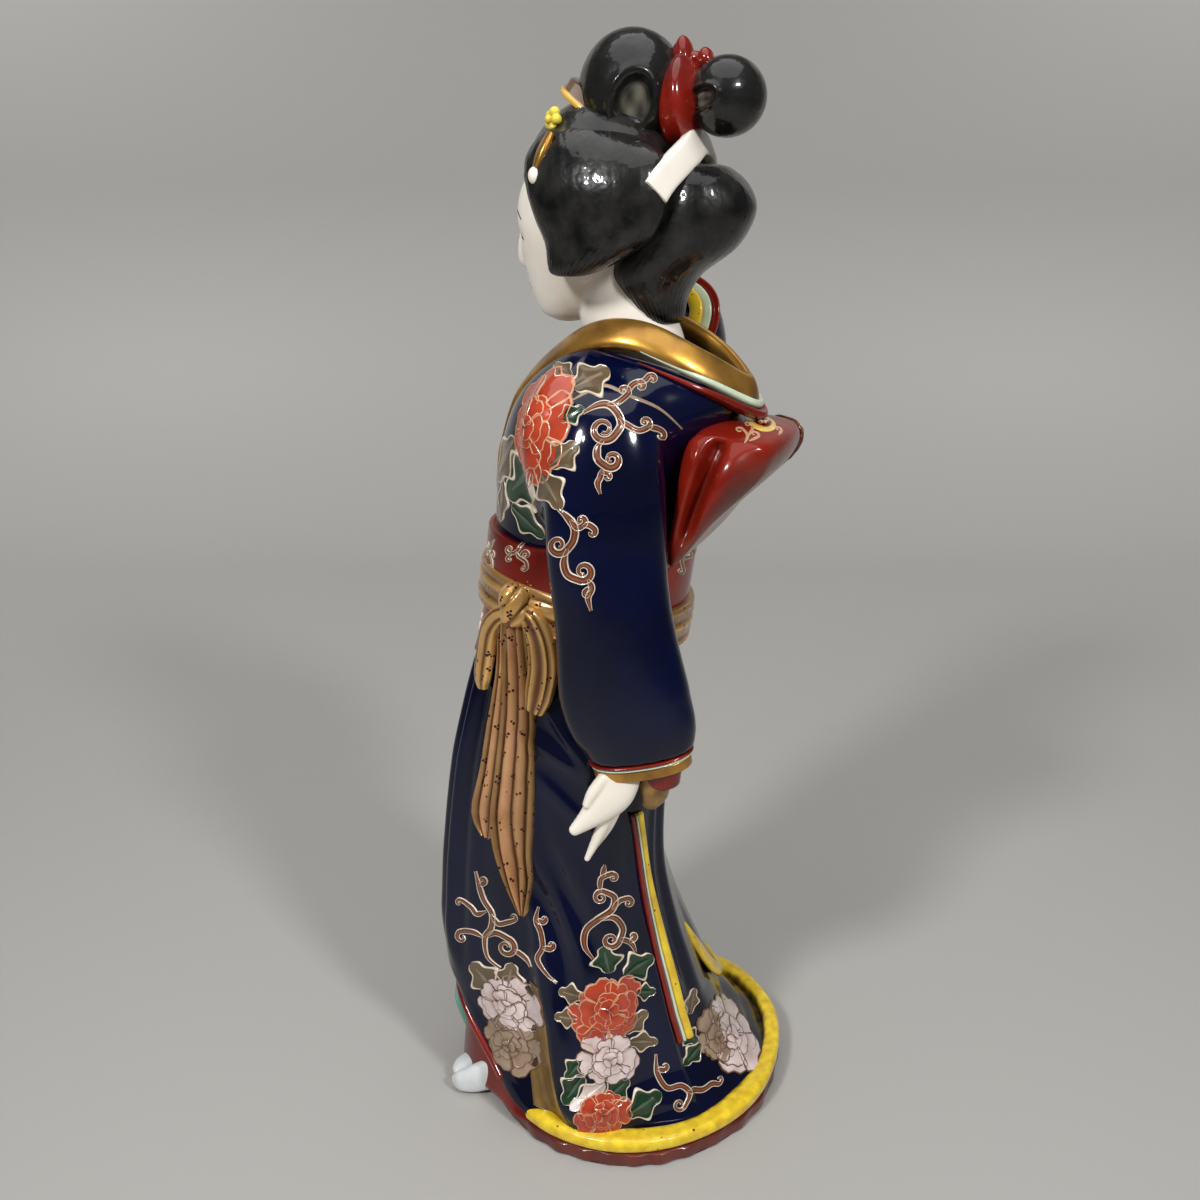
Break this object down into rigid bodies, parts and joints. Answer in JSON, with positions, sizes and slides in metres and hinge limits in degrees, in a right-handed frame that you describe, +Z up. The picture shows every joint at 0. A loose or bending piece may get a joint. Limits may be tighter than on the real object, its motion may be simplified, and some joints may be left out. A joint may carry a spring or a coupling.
{
  "type": "porcelain figurine",
  "caption": "Free-standing glazed porcelain lady in a trailing kimono with a wide obi, one sleeve raised, on a flat base; a shelf ornament.",
  "frame": {"origin": "on the underside of the base slab, on the vertical axis of the standing figure", "axes": "+Z up; the figure faces -Y and its left arm is on +X"},
  "size_m": [0.148, 0.1499, 0.4294],
  "materials": {
    "navy": "deep cobalt-navy glaze, very glossy",
    "bisque_white": "cream white porcelain with a thin clear glaze",
    "black": "black glaze, mottled and glossy",
    "iron_red": "iron-red overglaze enamel, glossy",
    "brown_red": "brown-red glaze, satin",
    "yellow": "yellow overglaze enamel, mottled",
    "gold": "antique gold overglaze, slightly worn",
    "pale_green": "pale green-white enamel, glossy",
    "teal": "teal enamel, glossy"
  },
  "bodies": {
    "root": {"skirt": "navy", "torso": "navy", "left_sleeve": "navy", "right_sleeve": "navy", "head": "bisque_white", "left_hand": "bisque_white", "right_hand": "bisque_white", "left_foot": "bisque_white", "right_foot": "bisque_white", "paper_tie": "bisque_white", "hair_front": "black", "hair_wing_left": "black", "hair_wing_right": "black", "nape_hair": "black", "front_bun": "black", "rear_bun": "black", "underskirt": "iron_red", "hem_piping": "iron_red", "overlap_red": "iron_red", "obi_band": "iron_red", "obi_bow": "iron_red", "collar_red": "iron_red", "hair_ribbon": "iron_red", "ribbon_knot": "iron_red", "left_cuff_red": "iron_red", "right_cuff_red": "iron_red", "inner_sleeve": "iron_red", "base_slab": "brown_red", "hem_roll": "yellow", "overlap_yellow": "yellow", "back_lip": "yellow", "hairpin_flower": "yellow", "right_cuff_yellow": "yellow", "sash_band": "gold", "sash_knot": "gold", "sash_loop_front": "gold", "sash_loop_rear": "gold", "sash_tail_long": "gold", "sash_tail_short": "gold", "bow_strap": "gold", "collar_gold": "gold", "comb": "gold", "hairpin_gold": "gold", "left_cuff_gold": "gold", "inner_sleeve_hem": "gold", "overlap_white": "pale_green", "collar_white": "pale_green", "left_cuff_white": "pale_green", "right_cuff_white": "pale_green", "teal_lining": "teal"}
  },
  "joints": []
}
